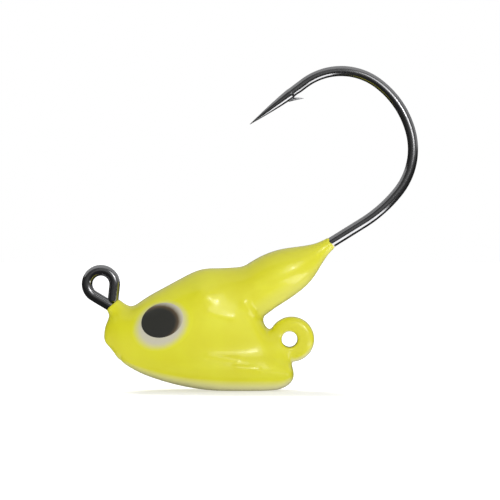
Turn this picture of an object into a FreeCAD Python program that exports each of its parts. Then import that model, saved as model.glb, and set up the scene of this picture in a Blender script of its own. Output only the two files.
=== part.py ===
import FreeCAD, Part
import math
import os
import Sketcher

# Painted jig head: a bent steel hook, a lead head cast round it, an undercoat, a top coat and sprayed eyes.
# Frame: +X from the nose to the hook's bend, +Z up, y = 0 is the plane of symmetry.
# The origin is the middle of the flat sole that the head stands on.

doc = FreeCAD.newDocument("jig_head")

# ---------------------------------------------------------------- driving dimensions (mm and degrees)

SIZES = {
    # hook wire, from the free leg beside the line-tie ring to the needle
    "wire_diameter": 1.08,
    "leg_run": 1.1,
    "ring_radius": 1.38,
    "ring_turn": 245,
    "stem_run": 7.8,
    "corner_radius": 2.0,
    "corner_turn": 62.9,
    "shank_run": 21.35,
    "entry_radius": 14.0,
    "entry_turn": 19.4,
    "heel_radius": 6.8,
    "heel_turn": 53.4,
    "back_radius": 8.9,
    "back_turn": 38.5,
    "crown_radius": 6.15,
    "crown_turn": 73.8,
    "spear_run": 1.7,
    "shank_start_x": -6.35,
    "shank_start_z": 5.46,
    "shank_angle": 31.9,
    # needle and barb
    "needle_length": 5.1,
    "needle_tip_diameter": 0.05,
    "barb_root": 0.5,
    "barb_sunk": 0.4,
    "barb_reach": 0.76,
    "barb_height": 1.2,
    "barb_root_width": 0.6,
    "barb_thickness": 0.5,
    # coats of paint
    "top_coat_depth": 0.09,
    "base_coat_depth": 0.07,
    "eye_white_depth": 0.03,
    "eye_pupil_depth": 0.03,
    "base_coat_rim": 0.14,
    # paint gathers in the small hole through the lug: its depth there over its depth elsewhere
    "bore_coat_share": 2,
    # neck under the line-tie ring
    "neck_x": -12.15,
    "neck_z": 7.36,
    "neck_lean": 40.8,
    "neck_height": 1.75,
    "neck_root_radius": 1.2,
    "neck_cuff_radius": 0.85,
    # rear lug
    "lug_x": 4.66,
    "lug_z": 5.14,
    "lug_radius": 2.26,
    "lug_thickness": 2.3,
    "lug_edge_radius": 0.6,
    "bore_x": 4.45,
    "bore_radius": 0.79,
    # sprayed eye, on both cheeks
    "eye_lean": 35,
    "eye_white_x": -8.3,
    "eye_white_z": 6.65,
    "eye_white_long": 2.75,
    "eye_white_short": 2.3,
    "eye_pupil_x": -8.42,
    "eye_pupil_z": 6.97,
    "eye_pupil_long": 1.9,
    "eye_pupil_short": 1.62,
}

# Upright oval sections of the casting: place along X, lowest and highest point, half width.
CHEEK_SECTIONS = [
    (-14.0, 4.95, 6.1, 0.52),
    (-13.5, 4.35, 7.3, 1.14),
    (-12.6, 3.3, 8.2, 1.82),
    (-11.4, 2.45, 8.4, 2.34),
    (-10.0, 1.85, 8.95, 2.76),
    (-8.3, 1.5, 9.9, 3.12),
    (-6.3, 1.1, 11.05, 3.38),
    (-4.3, 0.7, 12.0, 3.54),
    (-2.6, 0.5, 12.25, 3.59),
    (-0.9, 0.5, 11.9, 3.54),
    (0.6, 0.5, 10.0, 3.33),
    (1.7, 0.5, 6.7, 2.91),
    (2.6, 0.7, 6.1, 2.18),
    (3.5, 1.0, 4.7, 1.46),
    (4.4, 1.4, 3.6, 1.04),
]

# The wide keel low on the head. Ovals that dip below z = 0 are cut off flat there, which makes the sole.
KEEL_SECTIONS = [
    (-11.0, 2.3, 3.6, 1.04),
    (-9.5, 1.55, 4.4, 2.39),
    (-8.3, 1.13, 4.6, 3.02),
    (-6.6, 0.68, 4.7, 3.48),
    (-4.8, 0.25, 4.8, 3.74),
    (-2.8, -0.4, 4.8, 3.87),
    (0.0, -0.6, 4.7, 3.9),
    (2.2, -0.45, 4.4, 3.74),
    (3.6, 0.1, 4.0, 3.38),
    (4.45, 0.75, 3.5, 2.86),
    (4.85, 1.3, 2.9, 2.29),
]

# Oval sections of the leaf-shaped collar, square to the shank: place along the shank measured back from the
# end of its straight run, offset of the middle from the wire, half height, half width.
COLLAR_SECTIONS = [
    (3.8, -0.04, 0.58, 0.58),
    (5.0, -0.14, 0.92, 0.85),
    (6.0, -0.2, 1.28, 1.1),
    (7.0, -0.26, 1.74, 1.38),
    (8.0, -0.2, 2.13, 1.62),
    (9.2, -0.1, 2.41, 1.82),
    (10.5, -0.03, 2.51, 1.95),
    (12.5, 0.0, 2.52, 2.1),
    (15.0, 0.0, 2.5, 2.2),
]

# Bodies that only cut run well past the head on every side.
CUTTER_LENGTH = 40
CUTTER_WIDTH = 20
CUTTER_DEPTH = 5

sheet = doc.addObject("Spreadsheet::Sheet", "sizes")
next_row = 1


def put(alias, value):
    global next_row
    sheet.set(f"A{next_row}", alias)
    sheet.set(f"B{next_row}", str(value))
    sheet.setAlias(f"B{next_row}", alias)
    next_row += 1


for alias, value in SIZES.items():
    put(alias, value)
for family, columns, rows in (
    ("cheek", ("along", "low", "high", "width"), CHEEK_SECTIONS),
    ("keel", ("along", "low", "high", "width"), KEEL_SECTIONS),
    ("collar", ("along", "offset", "height", "width"), COLLAR_SECTIONS),
):
    for number, row in enumerate(rows):
        for column, value in zip(columns, row):
            put(f"{family}_{column}_no{number}", value)
doc.recompute()


def size(alias):
    return float(sheet.get(alias))


def bind(thing, prop, formula):
    thing.setExpression(prop, formula)


# ---------------------------------------------------------------- hook

# The wire's line in the XZ plane, as straight runs and tangent arcs that all turn the same way.
WIRE_CHAIN = [
    ("leg_run", None),
    ("ring_radius", "ring_turn"),
    ("stem_run", None),
    ("corner_radius", "corner_turn"),
    ("shank_run", None),
    ("entry_radius", "entry_turn"),
    ("heel_radius", "heel_turn"),
    ("back_radius", "back_turn"),
    ("crown_radius", "crown_turn"),
    ("spear_run", None),
]
SHANK = 4


def heading(angle):
    return FreeCAD.Vector(math.cos(angle), math.sin(angle), 0)


def lay_chain(start, angle):
    """Lay the chain from a start point and heading; return each piece and the end point and heading."""
    pieces = []
    for length, turn in WIRE_CHAIN:
        if turn is None:
            end = start + heading(angle) * size(length)
            pieces.append(Part.LineSegment(start, end))
        else:
            centre = start + heading(angle + math.pi / 2) * size(length)
            sweep = math.radians(size(turn))
            circle = Part.Circle(centre, FreeCAD.Vector(0, 0, 1), size(length))
            pieces.append(Part.ArcOfCircle(circle, angle - math.pi / 2, angle + sweep - math.pi / 2))
            angle += sweep
            end = centre + heading(angle - math.pi / 2) * size(length)
        start = end
    return pieces, start, angle


def origin_plane(body, role):
    return next(feature for feature in body.Origin.OriginFeatures if feature.Role == role)


def new_sketch(body, name, support, mode):
    sketch = body.newObject("Sketcher::SketchObject", name)
    sketch.AttachmentSupport = support
    sketch.MapMode = mode
    return sketch


def dimension(sketch, name, formula, *constraint):
    index = sketch.addConstraint(Sketcher.Constraint(*constraint))
    sketch.renameConstraint(index, name)
    bind(sketch, f"Constraints.{name}", formula)


first_angle = math.radians(size("shank_angle") - size("corner_turn") - size("ring_turn"))
trial, _, _ = lay_chain(FreeCAD.Vector(), first_angle)
shank_start = FreeCAD.Vector(size("shank_start_x"), size("shank_start_z"), 0)
chain, needle_root, needle_angle = lay_chain(shank_start - trial[SHANK].StartPoint, first_angle)

hook = doc.addObject("PartDesign::Body", "hook")
wire_path = new_sketch(hook, "wire_path", [(origin_plane(hook, "XZ_Plane"), "")], "FlatFace")
for piece in chain:
    wire_path.addGeometry(piece, False)
for index in range(len(chain) - 1):
    wire_path.addConstraint(Sketcher.Constraint("Tangent", index, 2, index + 1, 1))
for index, (length, turn) in enumerate(WIRE_CHAIN):
    if turn is None:
        dimension(wire_path, length, f"sizes.{length} * 1 mm", "Distance", index, size(length))
    else:
        dimension(wire_path, length, f"sizes.{length} * 1 mm", "Radius", index, size(length))
        dimension(wire_path, turn, f"sizes.{turn} * 1 deg", "Angle", index, math.radians(size(turn)))
for alias, kind in (("shank_start_x", "DistanceX"), ("shank_start_z", "DistanceY")):
    dimension(wire_path, alias, f"sizes.{alias} * 1 mm", kind, -1, 1, SHANK, 1, size(alias))
shank_lean = math.radians(size("shank_angle"))
dimension(wire_path, "shank_angle", "sizes.shank_angle * 1 deg", "Angle", SHANK, shank_lean)
doc.recompute()


def round_section(name, edge, along_edge, diameter, ahead):
    """A circle square to the wire, at the start (0) or end (1) of one of its runs, or ahead of it."""
    sketch = new_sketch(hook, name, [(wire_path, edge)], "NormalToEdge")
    sketch.MapPathParameter = along_edge
    bind(sketch, "AttachmentOffset.Base.z", f"-({ahead}) * 1 mm")
    drawn = size("wire_diameter")
    sketch.addGeometry(Part.Circle(FreeCAD.Vector(), FreeCAD.Vector(0, 0, 1), drawn / 2), False)
    sketch.addConstraint(Sketcher.Constraint("Coincident", 0, 3, -1, 1))
    dimension(sketch, "diameter", f"({diameter}) * 1 mm", "Diameter", 0, drawn)
    return sketch


wire = hook.newObject("PartDesign::AdditivePipe", "wire")
wire.Profile = round_section("wire_section", "Edge1", 0, "sizes.wire_diameter", "0")
wire.Spine = wire_path
doc.recompute()

# The needle: round sections that fall away faster and faster, which gives the ground point its belly.
NEEDLE_SECTIONS = [(0.0, 1.0), (0.3, 0.83), (0.6, 0.56), (0.85, 0.25)]
needle_rings = [
    round_section(
        f"needle_section_{number}",
        f"Edge{len(chain)}",
        1,
        f"sizes.wire_diameter * {share}",
        f"sizes.needle_length * {along}",
    )
    for number, (along, share) in enumerate(NEEDLE_SECTIONS)
]
needle_rings.append(
    round_section("needle_tip", f"Edge{len(chain)}", 1, "sizes.needle_tip_diameter", "sizes.needle_length")
)
needle = hook.newObject("PartDesign::AdditiveLoft", "needle")
needle.Profile = needle_rings[0]
needle.Sections = needle_rings[1:]
doc.recompute()

# The barb is a sliver cut up from the inner side of the wire, so it points back along the needle.
barb_outline = new_sketch(hook, "barb_outline", [(origin_plane(hook, "XZ_Plane"), "")], "FlatFace")
barb_outline.AttachmentOffset = FreeCAD.Placement(
    needle_root, FreeCAD.Rotation(FreeCAD.Vector(0, 0, 1), math.degrees(needle_angle))
)
root_front = FreeCAD.Vector(size("barb_root"), size("barb_sunk"), 0)
root_back = root_front - FreeCAD.Vector(size("barb_root_width"), 0, 0)
barb_tip = FreeCAD.Vector(-size("barb_reach"), size("barb_height"), 0)
barb_points = [root_front, barb_tip, root_back]
for index, point in enumerate(barb_points):
    barb_outline.addGeometry(Part.LineSegment(point, barb_points[(index + 1) % 3]), False)
for index in range(3):
    barb_outline.addConstraint(Sketcher.Constraint("Coincident", index, 2, (index + 1) % 3, 1))
dimension(barb_outline, "root", "sizes.barb_root * 1 mm", "DistanceX", -1, 1, 0, 1, size("barb_root"))
dimension(barb_outline, "sunk", "sizes.barb_sunk * 1 mm", "DistanceY", -1, 1, 0, 1, size("barb_sunk"))
dimension(barb_outline, "reach", "sizes.barb_reach * 1 mm", "DistanceX", 1, 1, -1, 1, size("barb_reach"))
dimension(barb_outline, "height", "sizes.barb_height * 1 mm", "DistanceY", -1, 1, 1, 1, size("barb_height"))
dimension(barb_outline, "width", "sizes.barb_root_width * 1 mm", "Distance", 2, size("barb_root_width"))
barb_outline.addConstraint(Sketcher.Constraint("Horizontal", 2))
barb = hook.newObject("PartDesign::Pad", "barb")
barb.Profile = barb_outline
bind(barb, "Length", "sizes.barb_thickness * 1 mm")
barb.Midplane = True
doc.recompute()
hook.Tip = barb
doc.recompute()

# ---------------------------------------------------------------- outer form of the head at any depth


def oval(name, long_half, short_half, x, z, rotation):
    """An oval in a plane square to the XZ plane, turned so that its long axis stands up or lies across."""
    ring = doc.addObject("Part::Ellipse", name)
    bind(ring, "MajorRadius", f"({long_half}) * 1 mm")
    bind(ring, "MinorRadius", f"({short_half}) * 1 mm")
    ring.Placement.Rotation = rotation
    bind(ring, "Placement.Base.x", f"({x}) * 1 mm")
    bind(ring, "Placement.Base.z", f"({z}) * 1 mm")
    return ring


def loft(name, rings):
    skin = doc.addObject("Part::Loft", name)
    skin.Sections = rings
    skin.Solid = True
    skin.Ruled = False
    return skin


UPRIGHT = FreeCAD.Rotation(FreeCAD.Vector(0, 1, 0), -90)
ACROSS = FreeCAD.Rotation(FreeCAD.Vector(1, 1, 1), 120)


def upright_loft(layer, family, count, inset, rotation):
    rings = []
    for number in range(count):
        low, high, width, along = (
            f"sizes.{family}_{column}_no{number}" for column in ("low", "high", "width", "along")
        )
        shift = inset if number == 0 else f"-{inset}" if number == count - 1 else "0"
        halves = [f"({high} - {low}) / 2 - {inset}", f"{width} - {inset}"]
        if rotation is ACROSS:
            halves.reverse()
        middle = f"({high} + {low}) / 2"
        rings.append(oval(f"{layer}_{family}_{number}", *halves, f"{along} + {shift}", middle, rotation))
    return loft(f"{layer}_{family}", rings)


def head_form(layer, inset, rim):
    """The whole outer form of the head, drawn in by inset; rim lengthens the tip of the collar."""
    cheeks = upright_loft(layer, "cheek", len(CHEEK_SECTIONS), inset, UPRIGHT)
    keel = upright_loft(layer, "keel", len(KEEL_SECTIONS), inset, ACROSS)

    square_to_shank = FreeCAD.Rotation(FreeCAD.Vector(0, 1, 0), -90 - size("shank_angle"))
    rings = []
    for number in range(len(COLLAR_SECTIONS)):
        along, offset, height, width = (
            f"sizes.collar_{column}_no{number}" for column in ("along", "offset", "height", "width")
        )
        run = f"(sizes.shank_run - {along}" + (f" + {rim})" if number == 0 else ")")
        rings.append(
            oval(
                f"{layer}_collar_{number}",
                f"{height} - {inset}",
                f"{width} - {inset}",
                f"sizes.shank_start_x + {run} * cos(sizes.shank_angle * 1 deg)"
                f" - {offset} * sin(sizes.shank_angle * 1 deg)",
                f"sizes.shank_start_z + {run} * sin(sizes.shank_angle * 1 deg)"
                f" + {offset} * cos(sizes.shank_angle * 1 deg)",
                square_to_shank,
            )
        )
    collar = loft(f"{layer}_collar", rings)

    neck = doc.addObject("Part::Cone", f"{layer}_neck")
    bind(neck, "Radius1", f"(sizes.neck_root_radius - {inset}) * 1 mm")
    bind(neck, "Radius2", f"(sizes.neck_cuff_radius - {inset}) * 1 mm")
    bind(neck, "Height", f"(sizes.neck_height - {inset}) * 1 mm")
    bind(neck, "Placement.Base.x", "sizes.neck_x * 1 mm")
    bind(neck, "Placement.Base.z", "sizes.neck_z * 1 mm")
    neck.Placement.Rotation = FreeCAD.Rotation(FreeCAD.Vector(0, -1, 0), size("neck_lean"))
    bind(neck, "Placement.Rotation.Angle", "sizes.neck_lean * 1 deg")

    disc = doc.addObject("Part::Cylinder", f"{layer}_lug_disc")
    bind(disc, "Radius", f"(sizes.lug_radius - {inset}) * 1 mm")
    bind(disc, "Height", f"(sizes.lug_thickness - 2 * {inset}) * 1 mm")
    bind(disc, "Placement.Base.x", "sizes.lug_x * 1 mm")
    bind(disc, "Placement.Base.y", f"(sizes.lug_thickness / 2 - {inset}) * 1 mm")
    bind(disc, "Placement.Base.z", "sizes.lug_z * 1 mm")
    disc.Placement.Rotation = FreeCAD.Rotation(FreeCAD.Vector(1, 0, 0), 90)
    doc.recompute()
    lug = doc.addObject("Part::Fillet", f"{layer}_lug")
    lug.Base = disc
    lug.Edges = [
        (number, size("lug_edge_radius"), size("lug_edge_radius"))
        for number, edge in enumerate(disc.Shape.Edges, start=1)
        if edge.isClosed()
    ]

    body = doc.addObject("Part::MultiFuse", f"{layer}_fused")
    body.Shapes = [cheeks, keel, collar, neck, lug]

    under = doc.addObject("Part::Box", f"{layer}_below_sole")
    under.Length = CUTTER_LENGTH
    under.Width = CUTTER_WIDTH
    under.Height = CUTTER_DEPTH
    under.Placement.Base = FreeCAD.Vector(-CUTTER_LENGTH / 2, -CUTTER_WIDTH / 2, 0)
    bind(under, "Placement.Base.z", f"({inset}) * 1 mm - {CUTTER_DEPTH} mm")

    bore = doc.addObject("Part::Cylinder", f"{layer}_bore")
    bind(bore, "Radius", f"(sizes.bore_radius + {inset} * sizes.bore_coat_share) * 1 mm")
    bore.Height = CUTTER_WIDTH
    bind(bore, "Placement.Base.x", "sizes.bore_x * 1 mm")
    bore.Placement.Base.y = CUTTER_WIDTH / 2
    bind(bore, "Placement.Base.z", "sizes.lug_z * 1 mm")
    bore.Placement.Rotation = FreeCAD.Rotation(FreeCAD.Vector(1, 0, 0), 90)

    cutters = doc.addObject("Part::MultiFuse", f"{layer}_cutters")
    cutters.Shapes = [under, bore, hook]
    form = doc.addObject("Part::Cut", f"{layer}_form")
    form.Base = body
    form.Tool = cutters
    doc.recompute()
    return form


top_form = head_form("top", "0", "0")
base_form = head_form("base", "sizes.top_coat_depth", "sizes.base_coat_rim")
lead_form = head_form("lead", "(sizes.top_coat_depth + sizes.base_coat_depth)", "0")

# ---------------------------------------------------------------- casting and coats


def coat(label, outer, inner):
    """The layer left when the next form down is taken out of a form."""
    skin = doc.addObject("Part::Cut", label)
    skin.Label = label
    skin.Base = outer
    skin.Tool = inner
    return skin


top_coat = coat("top_coat", top_form, base_form)
base_coat = coat("base_coat", base_form, lead_form)
lead_form.Label = "head_casting"
doc.recompute()

# ---------------------------------------------------------------- sprayed eyes


def eye_film(label, part, side, lift):
    """A film of paint that follows the cheek: the cheek's own skin inside an oval, thickened sideways."""
    centre = FreeCAD.Vector(size(f"eye_{part}_x"), 0, size(f"eye_{part}_z"))
    lean = FreeCAD.Rotation(FreeCAD.Vector(0, -1, 0), size("eye_lean"))
    long_end = centre + lean.multVec(FreeCAD.Vector(size(f"eye_{part}_long"), 0, 0))
    short_end = centre + lean.multVec(FreeCAD.Vector(0, 0, size(f"eye_{part}_short")))
    rim = Part.Wire(Part.Ellipse(long_end, short_end, centre).toShape())
    sideways = FreeCAD.Vector(0, side, 0)
    window = Part.Face(rim).extrude(sideways * CUTTER_WIDTH)
    patch = cheek_skin.common(window)
    patch.translate(sideways * lift)
    film = doc.addObject("Part::Feature", label)
    film.Label = label
    film.Shape = patch.Faces[0].extrude(sideways * size(f"eye_{part}_depth"))
    return film


cheek_skin = max(top_form.Shape.Faces, key=lambda face: face.Area)
eye_films = []
for hand, side in (("left", 1), ("right", -1)):
    eye_films.append(eye_film(f"eye_white_{hand}", "white", side, 0))
    eye_films.append(eye_film(f"eye_pupil_{hand}", "pupil", side, size("eye_white_depth")))
doc.recompute()

# ---------------------------------------------------------------- checks and STEP files

nodes = [hook, lead_form, base_coat, top_coat, *eye_films]
for thing in doc.Objects:
    if "Invalid" in thing.State or "Error" in thing.State:
        raise RuntimeError(f"{thing.Name} failed: {thing.State}")
for node in nodes:
    if node.Shape.isNull() or not node.Shape.isValid() or len(node.Shape.Solids) != 1:
        raise RuntimeError(f"{node.Label} has no valid single solid")

os.makedirs("parts", exist_ok=True)
for node in nodes:
    node.Shape.exportStep(f"parts/{node.Label}.step")
    print(f"{node.Label}: {node.Shape.Volume:.3f} mm3")
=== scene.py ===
import math

import bpy
import numpy as np
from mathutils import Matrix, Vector


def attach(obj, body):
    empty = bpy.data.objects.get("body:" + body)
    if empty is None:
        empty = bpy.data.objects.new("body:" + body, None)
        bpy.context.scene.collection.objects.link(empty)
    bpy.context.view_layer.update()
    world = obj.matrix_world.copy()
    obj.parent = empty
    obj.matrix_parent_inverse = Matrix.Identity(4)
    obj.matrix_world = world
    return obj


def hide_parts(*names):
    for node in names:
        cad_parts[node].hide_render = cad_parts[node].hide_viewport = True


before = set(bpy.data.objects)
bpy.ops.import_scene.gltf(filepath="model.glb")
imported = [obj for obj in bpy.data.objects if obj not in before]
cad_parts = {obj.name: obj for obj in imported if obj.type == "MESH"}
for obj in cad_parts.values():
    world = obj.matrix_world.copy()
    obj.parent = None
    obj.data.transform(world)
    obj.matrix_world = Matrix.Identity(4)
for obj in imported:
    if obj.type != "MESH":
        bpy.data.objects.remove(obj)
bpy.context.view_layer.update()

# ---------------------------------------------------------------------------------------------------------
# Camera. It looks square at the jig's flank from a tackle box's distance, with a long lens, so that the
# nose is on the left and the hook's bend on the right.
# ---------------------------------------------------------------------------------------------------------

MM = 0.001
VIEW_WIDTH = 50.0
VIEW_CENTRE = (0.5, 14.05)
LENS = 150.0
SENSOR = 36.0

camera = bpy.data.objects.new("camera", bpy.data.cameras.new("camera"))
camera.data.lens = LENS
camera.data.sensor_width = SENSOR
camera.data.clip_start = 0.01
camera.location = (VIEW_CENTRE[0] * MM, -VIEW_WIDTH * MM * LENS / SENSOR, VIEW_CENTRE[1] * MM)
camera.rotation_euler = (math.pi / 2, 0, 0)
bpy.context.scene.collection.objects.link(camera)
bpy.context.scene.camera = camera
bpy.context.scene.view_settings.view_transform = "Standard"

# ---------------------------------------------------------------------------------------------------------
# Hook. One length of high-carbon wire, bent round a pin for the line-tie ring, kinked inside the head, bent
# to a wide round gap, ground to a needle and nicked for the barb, then hardened and black nickel plated.
# ---------------------------------------------------------------------------------------------------------

WIRE_RADIUS = 0.54
SHANK_START = np.array([-6.35, 5.46])
SHANK_ANGLE = 31.9
# Straight runs are (length,), bends are (radius, turn in degrees); every bend turns the same way (mm).
RING_AND_STEM = [(1.62,), (1.38, 245), (7.8,), (2.0, 62.9)]
SHANK_AND_BEND = [(21.35,), (14.0, 19.4), (6.8, 53.4), (8.9, 38.5), (6.15, 73.8), (1.7,), (5.1,)]
SQUEEZE = 0.05
SQUEEZE_START = 22.0
SQUEEZE_RUN = 8.0
NEEDLE_LENGTH = 5.1
NEEDLE_CURVE = 1.35
POINT_RADIUS = 0.02
BITE_BACK = 0.45
BITE_DEPTH = 0.05
BITE_RUN = 0.3
WIRE_STEP = 0.12
WIRE_SIDES = 40


def walk(runs, point, angle, step):
    """Points and headings along straight runs and tangent bends in the XZ plane."""
    points, angles = [np.array(point, float)], [angle]
    for run in runs:
        turn = math.radians(run[1]) if len(run) > 1 else 0.0
        length = run[0] * turn if turn else run[0]
        count = max(2, round(length / step))
        for _ in range(count):
            middle = angle + turn / count / 2
            chord = 2 * run[0] * math.sin(turn / count / 2) if turn else length / count
            point = points[-1] + chord * np.array([math.cos(middle), math.sin(middle)])
            angle += turn / count
            points.append(point)
            angles.append(angle)
    return np.array(points), np.array(angles)


shank_angle = math.radians(SHANK_ANGLE)
first_angle = shank_angle - math.radians(sum(run[1] for run in RING_AND_STEM if len(run) > 1))
stem_trial, _ = walk(RING_AND_STEM, (0, 0), first_angle, WIRE_STEP)
line, headings = walk(RING_AND_STEM + SHANK_AND_BEND, SHANK_START - stem_trial[-1], first_angle, WIRE_STEP)
along = np.concatenate([[0], np.cumsum(np.linalg.norm(np.diff(line, axis=0), axis=1))])
needle_share = np.clip((along - along[-1] + NEEDLE_LENGTH) / NEEDLE_LENGTH, 0, 1)
barb_place = along[-1] - NEEDLE_LENGTH

# The bend is squeezed a little narrower than the shank, and the needle is ground from there to its point.
bend_share = np.clip((along - along[len(stem_trial)] - SQUEEZE_START) / SQUEEZE_RUN, 0, 1)
radii = np.where(
    needle_share > 0,
    WIRE_RADIUS * (1 - SQUEEZE) * (1 - needle_share**NEEDLE_CURVE) + POINT_RADIUS,
    WIRE_RADIUS * (1 - SQUEEZE * bend_share),
)

around = np.arange(WIRE_SIDES) * 2 * math.pi / WIRE_SIDES
inward = np.stack([-np.sin(headings), np.zeros_like(headings), np.cos(headings)], 1)
sideways = np.array([0.0, -1.0, 0.0])
middle_line = np.stack([line[:, 0], np.zeros(len(line)), line[:, 1]], 1)
# The chisel that lifts the barb leaves a shallow bite in the inner side of the wire just behind it.
bite_share = np.exp(-(((along - barb_place + BITE_BACK) / BITE_RUN) ** 2))[:, None]
bite = BITE_DEPTH * bite_share * np.clip(np.cos(around), 0, 1) ** 2
rings = (
    middle_line[:, None, :]
    + (radii[:, None] * np.cos(around) - bite)[..., None] * inward[:, None, :]
    + (radii[:, None] * np.sin(around))[..., None] * sideways
)


def new_piece(name, vertices, faces):
    """A smooth-shaded mesh object from corners in millimetres."""
    mesh = bpy.data.meshes.new(name)
    mesh.from_pydata((np.asarray(vertices) * MM).tolist(), [], [list(map(int, face)) for face in faces])
    mesh.validate()
    mesh.shade_smooth()
    piece = bpy.data.objects.new(name, mesh)
    bpy.context.scene.collection.objects.link(piece)
    return piece


def tube_faces(count, sides):
    """Quads between rings of corners, with a flat cap at each end."""
    index = np.arange(count * sides).reshape(count, sides)
    follow = np.roll(index, -1, axis=1)
    quads = np.stack([index[:-1], follow[:-1], follow[1:], index[1:]], -1).reshape(-1, 4).tolist()
    return [index[0][::-1].tolist()] + quads + [index[-1].tolist()]


wire_faces = tube_faces(len(line), WIRE_SIDES)
wire_corners = rings.reshape(-1, 3)

# The barb: a sliver of the wire's own skin, raised and slightly bowed, so its tip points back up the spear.
# Its line starts so far forward of the needle's root and above the wire's middle, and runs back and rises.
BARB_FORWARD = 0.62
BARB_BACK_RUN = 1.4
BARB_UP = 0.38
BARB_RISE = 0.5
BARB_BOW = 0.3
BARB_HALF_THICK = 0.17
BARB_HALF_WIDTH = 0.2
BARB_TAPER = 2.4
BARB_TIP_HALF_THICK = 0.012
BARB_TIP_HALF_WIDTH = 0.02
BARB_RINGS = 14
BARB_SIDES = 12
needle_root = middle_line[np.argmin(np.abs(along - barb_place))]
root_heading = headings[np.argmin(np.abs(along - barb_place))]
forward = np.array([math.cos(root_heading), 0, math.sin(root_heading)])
to_inside = np.array([-math.sin(root_heading), 0, math.cos(root_heading)])
barb_share = np.linspace(0, 1, BARB_RINGS)
barb_line = (
    needle_root
    + np.outer(BARB_FORWARD - BARB_BACK_RUN * barb_share, forward)
    + np.outer(BARB_UP + BARB_RISE * barb_share + BARB_BOW * barb_share * barb_share, to_inside)
)
barb_taper = 1 - barb_share[:, None] ** BARB_TAPER
barb_around = np.arange(BARB_SIDES) * 2 * math.pi / BARB_SIDES
barb_thick = (BARB_HALF_THICK * barb_taper + BARB_TIP_HALF_THICK) * np.cos(barb_around)
barb_wide = (BARB_HALF_WIDTH * barb_taper + BARB_TIP_HALF_WIDTH) * np.sin(barb_around)
barb_rings = barb_line[:, None, :] + barb_thick[..., None] * to_inside + barb_wide[..., None] * sideways
barb_faces = [[corner + len(wire_corners) for corner in face] for face in tube_faces(BARB_RINGS, BARB_SIDES)]
hook_corners = np.concatenate([wire_corners, barb_rings.reshape(-1, 3)])
hook = new_piece("hook_wire", hook_corners, wire_faces + barb_faces)
for face in hook.data.polygons:
    is_end_cap = len(face.vertices) > 4
    face.use_smooth = not is_end_cap


def linear(code):
    """An sRGB hex colour as linear red, green, blue and a solid alpha."""
    parts = [int(code[place : place + 2], 16) / 255 for place in (1, 3, 5)]
    return [part / 12.92 if part <= 0.04045 else ((part + 0.055) / 1.055) ** 2.4 for part in parts] + [1.0]


def add_node(material, kind, links=(), **settings):
    """A node with its settings; links are (socket, node, output) into it."""
    node = material.node_tree.nodes.new(kind)
    for name, value in settings.items():
        sockets = [s for s in node.inputs if s.enabled and s.name.lower().replace(" ", "_") == name]
        if sockets:
            sockets[0].default_value = value
        else:
            setattr(node, name, value)
    for socket, source, output in links:
        material.node_tree.links.new(source.outputs[output], node.inputs[socket])
    return node


def new_material(name, **settings):
    """A material and its Principled surface, with the settings given."""
    material = bpy.data.materials.new(name)
    material.use_nodes = True
    surface = material.node_tree.nodes["Principled BSDF"]
    for socket, value in settings.items():
        surface.inputs[socket.replace("_", " ")].default_value = value
    return material, surface


# Black nickel over polished steel: a dark mirror, smoky rather than black, with the fine lengthwise lines
# that drawing the wire through a die leaves and a cloudier tone where the bath plated it thinner.
black_nickel, nickel_surface = new_material("black_nickel_plated_wire", Metallic=1.0, Roughness=0.16)
place = add_node(black_nickel, "ShaderNodeTexCoord")
cloud = add_node(
    black_nickel, "ShaderNodeTexNoise", [("Vector", place, "Object")], scale=420.0, detail=3.0, roughness=0.6
)
tone = add_node(black_nickel, "ShaderNodeValToRGB", [("Fac", cloud, "Fac")])
tone.color_ramp.elements[0].position = 0.3
tone.color_ramp.elements[0].color = linear("#A2A2A4")
tone.color_ramp.elements[1].position = 0.75
tone.color_ramp.elements[1].color = linear("#B4B4B5")
black_nickel.node_tree.links.new(tone.outputs["Color"], nickel_surface.inputs["Base Color"])
grain = add_node(
    black_nickel, "ShaderNodeTexNoise", [("Vector", place, "Object")], scale=9000.0, detail=2.0, roughness=0.5
)
haze = add_node(black_nickel, "ShaderNodeMapRange", [("Value", cloud, "Fac")], to_min=0.12, to_max=0.22)
black_nickel.node_tree.links.new(haze.outputs["Result"], nickel_surface.inputs["Roughness"])
rub = add_node(black_nickel, "ShaderNodeBump", [("Height", grain, "Fac")], strength=0.05, distance=0.00002)
black_nickel.node_tree.links.new(rub.outputs["Normal"], nickel_surface.inputs["Normal"])
hook.data.materials.append(black_nickel)

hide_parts("hook")
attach(hook, "root")

# ---------------------------------------------------------------------------------------------------------
# Top coat. The head is cast in a two-part mould round the hook, dipped in chartreuse powder and baked, so
# the paint flows over it in one skin: cheeks, wide keel, leaf-shaped collar, neck under the ring, rear lug.
# ---------------------------------------------------------------------------------------------------------

# Cross-sections of the cheeks: x, top, bottom, height of the widest place, half width (mm).
CHEEKS = [
    (-14.08, 5.4, 5.4, 5.4, 0.0),
    (-13.95, 6.4, 4.85, 5.5, 0.62),
    (-13.5, 7.3, 4.3, 5.6, 1.1),
    (-12.6, 7.95, 3.38, 5.5, 1.75),
    (-11.4, 8.3, 2.55, 5.4, 2.3),
    (-10.0, 9.2, 1.92, 5.4, 2.75),
    (-8.3, 10.18, 1.5, 5.5, 3.12),
    (-6.3, 11.26, 1.0, 5.7, 3.4),
    (-4.3, 12.12, 0.7, 5.9, 3.52),
    (-2.6, 12.2, 0.5, 6.0, 3.32),
    (-0.9, 11.9, 0.5, 5.8, 2.98),
    (0.5, 10.2, 0.5, 5.2, 2.62),
    (1.7, 6.9, 0.6, 4.2, 2.25),
    (2.6, 6.05, 0.8, 3.8, 1.92),
    (3.5, 5.85, 1.3, 3.9, 1.58),
    (4.6, 5.7, 3.0, 4.4, 1.2),
    (5.7, 5.4, 4.1, 4.8, 0.8),
    (6.3, 4.9, 4.9, 4.9, 0.0),
]
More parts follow.
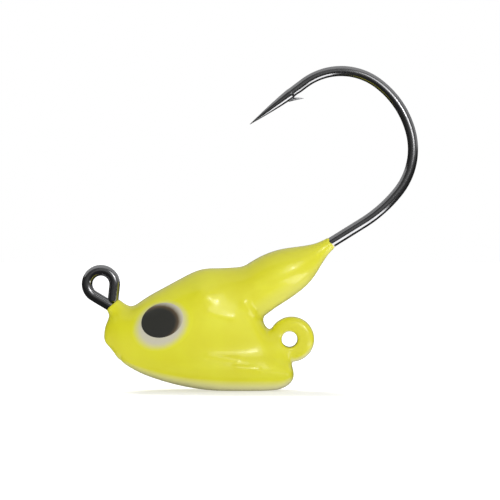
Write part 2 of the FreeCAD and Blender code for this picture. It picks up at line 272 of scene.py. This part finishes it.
# Cross-sections of the keel: the foot of the head, broad and almost square, that it stands on.
KEEL = [
    (-12.3, 3.5, 3.5, 3.5, 0.0),
    (-11.3, 4.1, 2.6, 3.2, 1.5),
    (-10.0, 4.5, 1.9, 3.0, 2.35),
    (-8.3, 4.6, 1.2, 2.7, 3.05),
    (-6.6, 4.6, 0.74, 2.4, 3.45),
    (-4.8, 4.6, 0.38, 2.2, 3.7),
    (-2.6, 4.5, 0.08, 2.1, 3.66),
    (0.0, 4.3, 0.0, 2.0, 3.38),
    (2.2, 4.0, 0.04, 1.9, 2.85),
    (3.7, 3.4, 0.26, 1.8, 2.3),
    (4.5, 2.7, 0.76, 1.75, 1.8),
    (4.87, 1.6, 1.6, 1.6, 0.0),
]
# The collar round the shank: distance back from the end of the wire's straight run, offset, radius.
COLLAR = [
    (3.4, -0.03, 0.6),
    (3.9, -0.03, 0.64),
    (5.0, -0.12, 0.88),
    (6.0, -0.2, 1.3),
    (7.0, -0.22, 1.76),
    (8.0, -0.16, 2.14),
    (9.2, -0.06, 2.42),
    (10.5, 0.01, 2.56),
    (12.0, 0.02, 2.6),
    (13.4, -0.02, 2.66),
    (14.8, -0.02, 2.62),
]
COLLAR_ROOT = 14.6
COLLAR_TIP = 3.75
# The rear lug: middle x, middle z, radius, half thickness; and its hole: middle x, middle z, radius.
LUG = (4.66, 5.14, 2.26, 1.12)
LUG_HOLE = (4.45, 5.14, 0.79)
# Welts and folds that the mould leaves on both cheeks: start, end (x, z), height and half width (mm).
WELTS = [
    ((-4.3, 9.9), (-3.9, 9.6), 0.3, 1.0),
    ((-3.7, 8.0), (-1.3, 7.35), 0.045, 0.32),
    ((-3.6, 3.66), (-0.7, 3.3), 0.05, 0.32),
    ((-0.8, 2.55), (1.3, 2.3), 0.06, 0.3),
    ((-3.7, 3.3), (0.2, 2.7), -0.03, 0.2),
    ((-0.1, 8.75), (0.9, 7.75), 0.08, 0.36),
]
NECK_FOOT = (-12.1, 7.3)
NECK_LEAN = 40.8
NECK_HEIGHT = 1.75
NECK_DEPTH = 2.0
NECK_RADIUS = 1.15
NECK_TAPER = 0.2
# How square the sections are, above and below their widest height: 2 is an oval, more is squarer.
CHEEK_SQUARENESS = (2.15, 2.2)
KEEL_SQUARENESS = (2.1, 3.0)
# Fillets where two bodies meet, and roundings on the free edges (mm).
KEEL_FILLET = 2.0
COLLAR_FILLET = 2.2
COLLAR_ROUNDING = 2.6
LUG_FILLET = 0.6
LUG_ROUNDING = 1.3
HOLE_ROUNDING = 0.45
NECK_FILLET = 1.1
NECK_ROUNDING = 0.3
TIP_ROUNDING = 0.12
SOLE_ROUNDING = 0.35


def curve_through(knots, values, where):
    """A natural cubic curve through values at knots, read at the places asked for."""
    knots, values = np.asarray(knots, float), np.asarray(values, float)
    gaps = np.diff(knots)
    slopes = np.diff(values) / gaps
    system = np.eye(len(knots))
    right = np.zeros(len(knots))
    for row in range(1, len(knots) - 1):
        system[row, row - 1 : row + 2] = gaps[row - 1], 2 * (gaps[row - 1] + gaps[row]), gaps[row]
        right[row] = 6 * (slopes[row] - slopes[row - 1])
    bends = np.linalg.solve(system, right)
    where = np.clip(where, knots[0], knots[-1])
    seat = np.clip(np.searchsorted(knots, where) - 1, 0, len(gaps) - 1)
    left, gap = where - knots[seat], gaps[seat]
    slope = slopes[seat] - gap * (2 * bends[seat] + bends[seat + 1]) / 6
    change = (bends[seat + 1] - bends[seat]) / gap
    return values[seat] + left * (slope + left * (bends[seat] / 2 + left * change / 6))


def hull(x, y, z, sections, squareness):
    """Rough distance (mm) to a lofted body; sections spaced like a circle's round off its ends."""
    table = np.array(sections, float)
    first, last = table[0, 0], table[-1, 0]

    def clock(place):
        return np.arccos(np.clip(1 - 2 * (place - first) / (last - first), -1, 1))

    knots, spot = clock(table[:, 0]), clock(x)
    top, bottom, widest, width = (curve_through(knots, table[:, column], spot) for column in range(1, 5))
    rise = z - widest
    reach = np.maximum(np.where(rise > 0, top - widest, widest - bottom), 1e-4)
    power = np.where(rise > 0, *squareness)
    width = np.maximum(width, 1e-4)
    size = ((np.abs(y) / width) ** power + (np.abs(rise) / reach) ** power) ** (1 / power)
    radius = np.sqrt(y * y + rise * rise)
    gap = radius - radius / np.maximum(size, 1e-6)
    overshoot = np.maximum(np.maximum(first - x, x - last), 0)
    return np.where(overshoot > 0, np.sqrt(radius * radius + overshoot * overshoot), gap)


def melt(one, other, blend):
    """The union of two bodies with a fillet of paint and metal between them."""
    near = np.maximum(blend - np.abs(one - other), 0) / blend
    return np.minimum(one, other) - near**3 * blend / 6


def carve(one, other, blend):
    """What two bodies share, with its edges rounded."""
    return -melt(-one, -other, blend)


def welt(x, z, start, end, height, width):
    """Height of one welt on the cheek: full along its line, falling away softly on both sides."""
    run = np.subtract(end, start)
    share = np.clip(((x - start[0]) * run[0] + (z - start[1]) * run[1]) / (run @ run), 0, 1)
    away = (x - start[0] - share * run[0]) ** 2 + (z - start[1] - share * run[1]) ** 2
    return height * np.exp(-away / width**2)


def head_skin(x, y, z, depth=0.0, rim=0.0):
    """Rough distance (mm) to the head's skin, or to a layer this deep that goes further along by rim."""
    body = hull(x, y, z, CHEEKS, CHEEK_SQUARENESS)
    keel = hull(x, y, z, KEEL, KEEL_SQUARENESS)
    body = melt(body, keel, KEEL_FILLET)

    end_x = SHANK_START[0] + SHANK_AND_BEND[0][0] * math.cos(shank_angle)
    end_z = SHANK_START[1] + SHANK_AND_BEND[0][0] * math.sin(shank_angle)
    back = (end_x - x) * math.cos(shank_angle) + (end_z - z) * math.sin(shank_angle)
    across = (x - end_x) * -math.sin(shank_angle) + (z - end_z) * math.cos(shank_angle)
    table = np.array(COLLAR)
    offset = curve_through(table[:, 0], table[:, 1], back)
    radius = curve_through(table[:, 0], table[:, 2], back)
    collar = np.sqrt((across - offset) ** 2 + y * y) - radius
    collar = carve(collar, back - COLLAR_ROOT, COLLAR_ROUNDING)
    body = melt(body, collar, COLLAR_FILLET)

    around_lug = np.sqrt((x - LUG[0]) ** 2 + (z - LUG[1]) ** 2)
    lug = carve(around_lug - LUG[2], np.abs(y) - LUG[3], LUG_ROUNDING)
    body = melt(body, lug, LUG_FILLET)
    hole = LUG_HOLE[2] - np.sqrt((x - LUG_HOLE[0]) ** 2 + (z - LUG_HOLE[1]) ** 2)
    body = carve(body, hole, HOLE_ROUNDING)

    lean = math.radians(NECK_LEAN)
    up = (z - NECK_FOOT[1]) * math.cos(lean) - (x - NECK_FOOT[0]) * math.sin(lean)
    over = (x - NECK_FOOT[0]) * math.cos(lean) + (z - NECK_FOOT[1]) * math.sin(lean)
    neck = np.sqrt(over * over + y * y) - (NECK_RADIUS - NECK_TAPER * np.clip(up, -1, 2))
    neck = carve(neck, up - NECK_HEIGHT, NECK_ROUNDING)
    neck = carve(neck, -NECK_DEPTH - up, NECK_ROUNDING)
    body = melt(body, neck, NECK_FILLET)

    # The coats end on the wire in a slightly ragged edge, and the layer below shows most on the underside.
    ragged = 0.07 * np.sin(9 * y + 1.0) + 0.06 * np.sin(7 * across)
    body = carve(body, COLLAR_TIP - rim * (0.4 - 0.9 * across) - back + ragged, TIP_ROUNDING)
    on_the_cheek = np.clip(np.abs(y) - 1.2, 0, 1)
    body = body - sum(welt(x, z, *shape) for shape in WELTS) * on_the_cheek
    body = carve(body, -z, SOLE_ROUNDING)
    return body + depth


def skin_mesh(shape, low, high, step):
    """The surface where shape is zero, as quads: one corner in each grid cell that the surface crosses."""
    axes = [np.arange(start, stop + step, step) for start, stop in zip(low, high)]
    values = shape(*np.meshgrid(*axes, indexing="ij"))
    inside = values < 0
    cells = np.array(values.shape) - 1
    total = np.zeros((*cells, 3))
    hits = np.zeros(cells)
    crossings = []
    for axis in range(3):
        ahead = [slice(None)] * 3
        behind = [slice(None)] * 3
        ahead[axis], behind[axis] = slice(1, None), slice(None, -1)
        start, stop = values[tuple(behind)], values[tuple(ahead)]
        crossing = np.argwhere(inside[tuple(behind)] != inside[tuple(ahead)])
        share = start[tuple(crossing.T)] / (start[tuple(crossing.T)] - stop[tuple(crossing.T)])
        point = crossing.astype(float)
        point[:, axis] += share
        others = [a for a in range(3) if a != axis]
        corners = []
        for first, second in ((1, 1), (0, 1), (0, 0), (1, 0)):
            cell = crossing.copy()
            cell[:, others[0]] -= first
            cell[:, others[1]] -= second
            np.add.at(total, tuple(cell.T), point)
            np.add.at(hits, tuple(cell.T), 1)
            corners.append(np.ravel_multi_index(tuple(cell.T), tuple(cells)))
        faces = np.stack(corners, 1)
        flip = inside[tuple(behind)][tuple(crossing.T)] == (axis == 1)
        faces[flip] = faces[flip][:, ::-1]
        crossings.append(faces)
    used = np.flatnonzero(hits.ravel())
    number = np.full(hits.size, -1)
    number[used] = np.arange(len(used))
    mean = total.reshape(-1, 3)[used] / hits.ravel()[used][:, None]
    corners = mean * step + np.array([axis[0] for axis in axes])
    return settle(shape, corners), number[np.concatenate(crossings)]


LONGEST_SLIDE = 0.05
LEAST_SLOPE = 0.05


def settle(shape, corners, rounds=4, probe=0.02):
    """Slide corners onto the surface itself, down the slope of shape."""
    for _ in range(rounds):
        value = shape(*corners.T)
        rises = [shape(*(corners + push).T) - shape(*(corners - push).T) for push in probe * np.eye(3)]
        slope = np.stack(rises, 1) / (2 * probe)
        move = value[:, None] * slope / np.maximum((slope**2).sum(1), LEAST_SLOPE)[:, None]
        corners = corners - np.clip(move, -LONGEST_SLIDE, LONGEST_SLIDE)
    return corners


# The grid for the coats starts a little off the round numbers of the sections: a grid corner that lies just
# on the skin would leave a collapsed face there.
HEAD_LOW = (-14.5, -4.3, -0.3)
COAT_LOW = (-14.53, -4.32, -0.33)
HEAD_HIGH = (9.3, 4.3, 15.6)
SKIN_STEP = 0.1
top_coat = new_piece("top_coat_skin", *skin_mesh(head_skin, COAT_LOW, HEAD_HIGH, SKIN_STEP))

# Painted reflection: the colour is mixed toward a pale cream on what faces down and a little towards the
# tail, most of all under the keel, as painted light standing in for the bright table's reflection and bounce.
# It starts where the skin faces this far that way, is full this much further on, and fades over the last of
# this height (mm) to its least share.
PAINTED_GLOW_FACING = np.array([0.3, 0.0, -0.954])
PAINTED_GLOW_START = 0.3
PAINTED_GLOW_RUN = 0.65
PAINTED_GLOW_TOP = 9.5
PAINTED_GLOW_FADE = 4.0
PAINTED_GLOW_LEAST = 0.35
outward = np.zeros(len(top_coat.data.vertices) * 3)
top_coat.data.vertices.foreach_get("normal", outward)
height = np.array([corner.co.z for corner in top_coat.data.vertices]) / MM
facing = np.clip((outward.reshape(-1, 3) @ PAINTED_GLOW_FACING - PAINTED_GLOW_START) / PAINTED_GLOW_RUN, 0, 1)
painted_glow_share = facing * np.clip((PAINTED_GLOW_TOP - height) / PAINTED_GLOW_FADE, PAINTED_GLOW_LEAST, 1)
top_coat.data.attributes.new("painted_glow_share", "FLOAT", "POINT").data.foreach_set("value", painted_glow_share)

# Baked powder paint: an even, wet-looking gloss over a strong yellow-green, a shade greener where it is
# thicker, with a faint orange peel about half a millimetre across and a few dust nibs caught in the bake.
CHARTREUSE = "#E2E020"
CHARTREUSE_THICK = "#DED91B"
PAINTED_REFLECTION_CREAM = "#E4E0B0"
chartreuse, paint_surface = new_material(
    "chartreuse_powder_paint", Roughness=0.38, IOR=1.48, Coat_Weight=0.8, Coat_Roughness=0.13, Coat_IOR=1.5
)
place = add_node(chartreuse, "ShaderNodeTexCoord")
depth = add_node(
    chartreuse, "ShaderNodeTexNoise", [("Vector", place, "Object")], scale=260.0, detail=3.0, roughness=0.55
)
shade = add_node(chartreuse, "ShaderNodeValToRGB", [("Fac", depth, "Fac")])
shade.color_ramp.elements[0].position = 0.35
shade.color_ramp.elements[0].color = linear(CHARTREUSE_THICK)
shade.color_ramp.elements[1].position = 0.65
shade.color_ramp.elements[1].color = linear(CHARTREUSE)
# Painted reflection: the share kept on each corner of the skin mixes the colour toward a pale cream where the
# skin faces down.
painted_glow_mask = add_node(chartreuse, "ShaderNodeAttribute", attribute_name="painted_glow_share")
painted_glow_mix = add_node(
    chartreuse,
    "ShaderNodeMixRGB",
    [("Fac", painted_glow_mask, "Fac"), ("Color1", shade, "Color")],
    color2=linear(PAINTED_REFLECTION_CREAM),
)
chartreuse.node_tree.links.new(painted_glow_mix.outputs["Color"], paint_surface.inputs["Base Color"])
peel = add_node(
    chartreuse, "ShaderNodeTexNoise", [("Vector", place, "Object")], scale=1600.0, detail=1.0, roughness=0.4
)
ripple = add_node(chartreuse, "ShaderNodeBump", [("Height", peel, "Fac")], strength=0.12, distance=0.00003)
chartreuse.node_tree.links.new(ripple.outputs["Normal"], paint_surface.inputs["Normal"])
top_coat.data.materials.append(chartreuse)

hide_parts("top_coat")
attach(top_coat, "root")

# ---------------------------------------------------------------------------------------------------------
# Undercoat and casting. White primer goes on before the chartreuse and shows as a thin rim on the wire at
# the collar's tip; under it is the dull grey lead, which nothing shows once the head is painted.
# ---------------------------------------------------------------------------------------------------------

UNDER_STEP = 0.16
PRIMER_DEPTH = 0.05
PRIMER_RIM = 0.22
LEAD_DEPTH = 0.2


def primer_skin(x, y, z):
    """The undercoat's skin, which ends a little further along the wire than the top coat."""
    return head_skin(x, y, z, PRIMER_DEPTH, PRIMER_RIM)


def lead_skin(x, y, z):
    """The lead's skin, under both coats."""
    return head_skin(x, y, z, LEAD_DEPTH)


# Primer dries chalky and matt, a warm white with fine specks where it took the powder.
undercoat = new_piece("undercoat_skin", *skin_mesh(primer_skin, COAT_LOW, HEAD_HIGH, UNDER_STEP))
primer, primer_surface = new_material("white_primer", Roughness=0.55, IOR=1.48)
place = add_node(primer, "ShaderNodeTexCoord")
chalk = add_node(primer, "ShaderNodeTexNoise", [("Vector", place, "Object")], scale=1800.0, detail=2.0)
tint = add_node(primer, "ShaderNodeValToRGB", [("Fac", chalk, "Fac")])
tint.color_ramp.elements[0].color = linear("#E9D9C6")
tint.color_ramp.elements[1].color = linear("#F6F1E6")
primer.node_tree.links.new(tint.outputs["Color"], primer_surface.inputs["Base Color"])
undercoat.data.materials.append(primer)
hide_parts("base_coat")
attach(undercoat, "root")

# Cast lead comes out of the mould dull blue-grey, with the frosted grain of metal that froze fast.
lead = new_piece("lead_casting", *skin_mesh(lead_skin, HEAD_LOW, HEAD_HIGH, UNDER_STEP))
cast_lead, lead_surface = new_material("cast_lead", Metallic=1.0, Roughness=0.6)
place = add_node(cast_lead, "ShaderNodeTexCoord")
frost = add_node(cast_lead, "ShaderNodeTexNoise", [("Vector", place, "Object")], scale=900.0, detail=4.0)
dull = add_node(cast_lead, "ShaderNodeValToRGB", [("Fac", frost, "Fac")])
dull.color_ramp.elements[0].color = linear("#5B5C60")
dull.color_ramp.elements[1].color = linear("#8A8B8E")
cast_lead.node_tree.links.new(dull.outputs["Color"], lead_surface.inputs["Base Color"])
lead.data.materials.append(cast_lead)
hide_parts("head_casting")
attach(lead, "root")

# ---------------------------------------------------------------------------------------------------------
# Eyes. A pale patch and then a dark spot are sprayed through a stencil on each cheek, so both have soft
# edges: each is a film of paint that thins to nothing at its rim and takes the colour below it there.
# ---------------------------------------------------------------------------------------------------------

# Each spot: its middle (x, z), half its length and height, its lean in degrees, how far the film bulges in
# the middle, how far it stands off the skin, and the same at its rim (mm).
WHITE = {
    "centre": (-8.16, 6.74),
    "long": 3.3,
    "short": 2.6,
    "lean": 28,
    "depth": 0.007,
    "lift": 0.0015,
    "rim": -0.002,
}
PUPIL = {
    "centre": (-8.17, 7.12),
    "long": 2.12,
    "short": 1.66,
    "lean": 20,
    "depth": 0.01,
    "lift": 0.009,
    "rim": 0.009,
}
FILM_RINGS = 26
FILM_SIDES = 96
FILM_FOOT = 0.02
CHEEK_SEARCH = 5.0
HALVINGS = 30


def eye_film(name, spot, side):
    """A lens of paint on the cheek: it follows the skin and stands proud of it most in the middle."""
    shares = np.linspace(0, 1, FILM_RINGS + 1)[1:]
    turns = np.arange(FILM_SIDES) * 2 * math.pi / FILM_SIDES
    reach = np.concatenate([[0], np.repeat(shares, FILM_SIDES)])
    turn = np.concatenate([[0], np.tile(turns, FILM_RINGS)])
    flat_long = spot["long"] * reach * np.cos(turn)
    flat_short = spot["short"] * reach * np.sin(turn)
    lean = math.radians(spot["lean"])
    x = spot["centre"][0] + flat_long * math.cos(lean) - flat_short * math.sin(lean)
    z = spot["centre"][1] + flat_long * math.sin(lean) + flat_short * math.cos(lean)
    near, far = np.zeros_like(x), np.full_like(x, CHEEK_SEARCH)
    for _ in range(HALVINGS):
        middle = (near + far) / 2
        within = head_skin(x, middle, z) < 0
        near, far = np.where(within, middle, near), np.where(within, far, middle)
    proud = spot["depth"] * (1 - reach**2) ** 1.5 + np.where(reach < 1, spot["lift"], spot["rim"])
    outer = np.stack([x, (near + proud) * side, z], 1)
    inner = np.stack([x, (near - FILM_FOOT) * side, z], 1)
    count = len(x)
    index = np.arange(1, count).reshape(FILM_RINGS, FILM_SIDES)
    follow = np.roll(index, -1, axis=1)
    fan = [[0, a, b] for a, b in zip(index[0], follow[0])]
    quads = np.stack([index[:-1], index[1:], follow[1:], follow[:-1]], -1).reshape(-1, 4).tolist()
    sheet = fan + quads
    under = [[corner + count for corner in face[::-1]] for face in sheet]
    wall = [[a, a + count, b + count, b] for a, b in zip(index[-1], follow[-1])]
    faces = sheet + under + wall
    if side > 0:
        faces = [face[::-1] for face in faces]
    film = new_piece(name, np.concatenate([outer, inner]), faces)
    rim_corners = set(index[-1].tolist()) | set((index[-1] + count).tolist())
    for edge in film.data.edges:
        edge.use_edge_sharp = set(edge.vertices) <= rim_corners
    return film


MIST_FLECK = 0.05


def spray_share(material, spot, start, stop, slide):
    """How far a point is through the soft rim of a spot: 0 inside, 1 outside; slide moves the spot (mm)."""
    place = add_node(material, "ShaderNodeTexCoord")
    flat = add_node(
        material,
        "ShaderNodeMapping",
        [("Vector", place, "Object")],
        vector_type="TEXTURE",
        location=((spot["centre"][0] + slide[0]) * MM, 0, (spot["centre"][1] + slide[1]) * MM),
        rotation=(0, -math.radians(spot["lean"]), 0),
        scale=(spot["long"] * MM, 1e6, spot["short"] * MM),
    )
    length = add_node(material, "ShaderNodeVectorMath", [(0, flat, "Vector")], operation="LENGTH")
    mist = add_node(material, "ShaderNodeTexNoise", [("Vector", place, "Object")], scale=2600.0, detail=2.0)
    fleck = add_node(
        material, "ShaderNodeMath", [(0, mist, "Fac"), (2, length, "Value")], operation="MULTIPLY_ADD"
    )
    fleck.inputs[1].default_value = MIST_FLECK
    return add_node(
        material,
        "ShaderNodeMapRange",
        [("Value", fleck, "Value")],
        interpolation_type="SMOOTHSTEP",
        from_min=start,
        from_max=stop,
    )


# Pale grey acrylic mist, thinned over half a millimetre at its edge, under a gloss coat.
EYE_WHITE = "#CBC6B2"
eye_white, white_surface = new_material(
    "sprayed_eye_white", Roughness=0.34, IOR=1.5, Coat_Weight=0.7, Coat_Roughness=0.06, Coat_IOR=1.5
)
white_rim = spray_share(eye_white, WHITE, 0.62, 0.97, (-0.1, -0.12))
white_mix = add_node(eye_white, "ShaderNodeMix", [("Factor", white_rim, "Result")], data_type="RGBA")
white_colours = [socket for socket in white_mix.inputs if socket.type == "RGBA"]
white_colours[0].default_value = linear(EYE_WHITE)
white_colours[1].default_value = linear(CHARTREUSE)
eye_white.node_tree.links.new(
    next(socket for socket in white_mix.outputs if socket.type == "RGBA"), white_surface.inputs["Base Color"]
)

# Black acrylic, crisp at the front where the stencil lay tight, and misted brown above and behind.
EYE_BLACK = "#30302B"
EYE_BROWN = "#5C4C38"
eye_black, black_surface = new_material(
    "sprayed_eye_black", Roughness=0.4, IOR=1.5, Coat_Weight=0.5, Coat_Roughness=0.1, Coat_IOR=1.5
)
black_rim = spray_share(eye_black, PUPIL, 0.74, 1.36, (-0.5, -0.36))
black_ramp = add_node(eye_black, "ShaderNodeValToRGB", [("Fac", black_rim, "Result")])
black_ramp.color_ramp.elements[0].position = 0.1
black_ramp.color_ramp.elements[0].color = linear(EYE_BLACK)
black_ramp.color_ramp.elements[1].position = 1.0
black_ramp.color_ramp.elements[1].color = linear(EYE_WHITE)
black_ramp.color_ramp.elements.new(0.45).color = linear(EYE_BROWN)
eye_black.node_tree.links.new(black_ramp.outputs["Color"], black_surface.inputs["Base Color"])

for hand, side in (("left", 1), ("right", -1)):
    for part, spot, material, slot in (
        ("white", WHITE, eye_white, "eye_white_paint"),
        ("pupil", PUPIL, eye_black, "eye_black_paint"),
    ):
        film = eye_film(f"eye_{part}_film_{hand}", spot, side)
        film.data.materials.append(material)
        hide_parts(f"eye_{part}_{hand}")
        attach(film, "root")

# ---------------------------------------------------------------------------------------------------------
# Floor and light. A plain pale table in a white room, one small lamp panel in front and to the right, a lamp
# that falls on the table alone, and cards that give the polished wire its dark and bright bands.
# ---------------------------------------------------------------------------------------------------------

TABLE = 2000
table_corners = [(-TABLE, -TABLE, 0), (TABLE, -TABLE, 0), (TABLE, TABLE, 0), (-TABLE, TABLE, 0)]
floor = new_piece("floor", table_corners, [(0, 1, 2, 3)])
# White card: matt, with a faint cloud of fibres, lit a little from below like a light table.
paper, paper_surface = new_material("white_card", Roughness=0.9, Emission_Strength=0.45)
paper_surface.inputs["Emission Color"].default_value = linear("#FFFFFF")
place = add_node(paper, "ShaderNodeTexCoord")
fibre = add_node(paper, "ShaderNodeTexNoise", [("Vector", place, "Object")], scale=300.0, detail=3.0)
pale = add_node(paper, "ShaderNodeValToRGB", [("Fac", fibre, "Fac")])
pale.color_ramp.elements[0].color = linear("#CECECE")
pale.color_ramp.elements[1].color = linear("#D2D2D2")
paper.node_tree.links.new(pale.outputs["Color"], paper_surface.inputs["Base Color"])
floor.data.materials.append(paper)
floor.visible_glossy = False


def new_light(name, kind, place, target, **settings):
    """A lamp at a place (mm), turned to face the target, that the camera doesn't see."""
    lamp = bpy.data.objects.new(name, bpy.data.lights.new(name, kind))
    for setting, value in settings.items():
        setattr(lamp.data, setting, value)
    from_target = Vector(place) - Vector(target)
    lamp.location = [value * MM for value in place]
    lamp.rotation_euler = from_target.to_track_quat("Z", "Y").to_euler()
    lamp.visible_camera = False
    bpy.context.scene.collection.objects.link(lamp)


HEAD_MIDDLE = (0.0, 0.0, 9.0)
KEY_PLACE = (68, -128, 54)
KEY_SIZE = 24 * MM
KEY_RADIANCE = 16.0
key_power = math.pi * KEY_RADIANCE * math.pi / 4 * KEY_SIZE**2
new_light("key_panel", "AREA", KEY_PLACE, HEAD_MIDDLE, shape="DISK", size=KEY_SIZE, energy=key_power)


def new_card(name, corners, brightness):
    """A card that only reflections see: it shapes the dark and light bands along the polished wire."""
    card = new_piece(name, corners, [(0, 1, 2, 3)])
    material, surface = new_material(name, Roughness=1.0, Emission_Strength=brightness)
    surface.inputs["Base Color"].default_value = linear("#000000")
    surface.inputs["Emission Color"].default_value = linear("#FFFFFF")
    card.data.materials.append(material)
    card.visible_camera = card.visible_diffuse = card.visible_shadow = False


# Cards: name, corners (mm) and brightness.
for name, corners, brightness in (
    ("grey_card_in_front", [(-60, -230, 0), (900, -230, 0), (900, -230, 900), (-60, -230, 900)], 0.15),
    ("dim_card_in_front", [(-300, -231, -60), (900, -231, -60), (900, -231, 900), (-300, -231, 900)], 0.07),
    ("low_panel", [(15, -32, 0.6), (33, -32, 0.6), (33, -5, 0.6), (15, -5, 0.6)], 2.4),
    ("black_card_on_table", [(-60, -220, 0.3), (120, -220, 0.3), (120, -38, 0.3), (-60, -38, 0.3)], 0.02),
    ("pale_card_above", [(-500, -130, 220), (600, -130, 220), (600, 600, 220), (-500, 600, 220)], 0.5),
    ("pale_card_at_right", [(260, -60, 40), (260, 500, 40), (260, 500, 220), (260, -60, 220)], 0.4),
    ("pale_card_round_key", [(35, -144, 31), (95, -112, 31), (95, -112, 112), (35, -144, 112)], 1.5),
):
    new_card(name, corners, brightness)

LAMP_PLACE = (-50, 70, 120)
LAMP_ENERGY = 2.2
LAMP_ANGLE = math.radians(24)
table_only = bpy.data.collections.new("table_only")
table_only.objects.link(floor)
new_light("table_lamp", "SUN", LAMP_PLACE, (0, 0, 0), energy=LAMP_ENERGY, angle=LAMP_ANGLE)
bpy.data.objects["table_lamp"].light_linking.receiver_collection = table_only

world = bpy.data.worlds.new("studio")
world.use_nodes = True
bpy.context.scene.world = world
path = world.node_tree.nodes.new("ShaderNodeLightPath")


def sky(strength, across=()):
    """A white room of one brightness, or one that changes from left (0) to right (1) as the stops say."""
    backdrop = world.node_tree.nodes.new("ShaderNodeBackground")
    backdrop.inputs["Strength"].default_value = strength
    backdrop.inputs["Color"].default_value = linear("#FFFFFF")
    if across:
        direction = world.node_tree.nodes.new("ShaderNodeTexCoord")
        axes = world.node_tree.nodes.new("ShaderNodeSeparateXYZ")
        share = world.node_tree.nodes.new("ShaderNodeMapRange")
        share.inputs["From Min"].default_value = -1.0
        walls = world.node_tree.nodes.new("ShaderNodeValToRGB")
        stops = walls.color_ramp.elements
        for number, (place, level) in enumerate(across):
            stop = stops[number] if number < 2 else stops.new(place)
            stop.position, stop.color = place, (level, level, level, 1.0)
        world.node_tree.links.new(direction.outputs["Generated"], axes.inputs[0])
        world.node_tree.links.new(axes.outputs["X"], share.inputs["Value"])
        world.node_tree.links.new(share.outputs["Result"], walls.inputs["Fac"])
        world.node_tree.links.new(walls.outputs["Color"], backdrop.inputs["Color"])
    return backdrop


def choose(ray, otherwise, seen):
    """One sky for this kind of ray and another for the rest."""
    either = world.node_tree.nodes.new("ShaderNodeMixShader")
    world.node_tree.links.new(path.outputs[ray], either.inputs["Fac"])
    world.node_tree.links.new(otherwise.outputs[0], either.inputs[1])
    world.node_tree.links.new(seen.outputs[0], either.inputs[2])
    return either


# The side walls are further off and dimmer than the front and back of the room, the left one most.
WALLS = [(0.0, 0.05), (1.0, 0.46), (0.33, 0.68), (0.58, 1.12)]
# The room lights the head softly all round, looks dark in the polished wire, and is plain white behind.
room = choose("Is Camera Ray", choose("Is Glossy Ray", sky(1.0, WALLS), sky(0.03)), sky(1.0))
world.node_tree.links.new(room.outputs[0], world.node_tree.nodes["World Output"].inputs["Surface"])
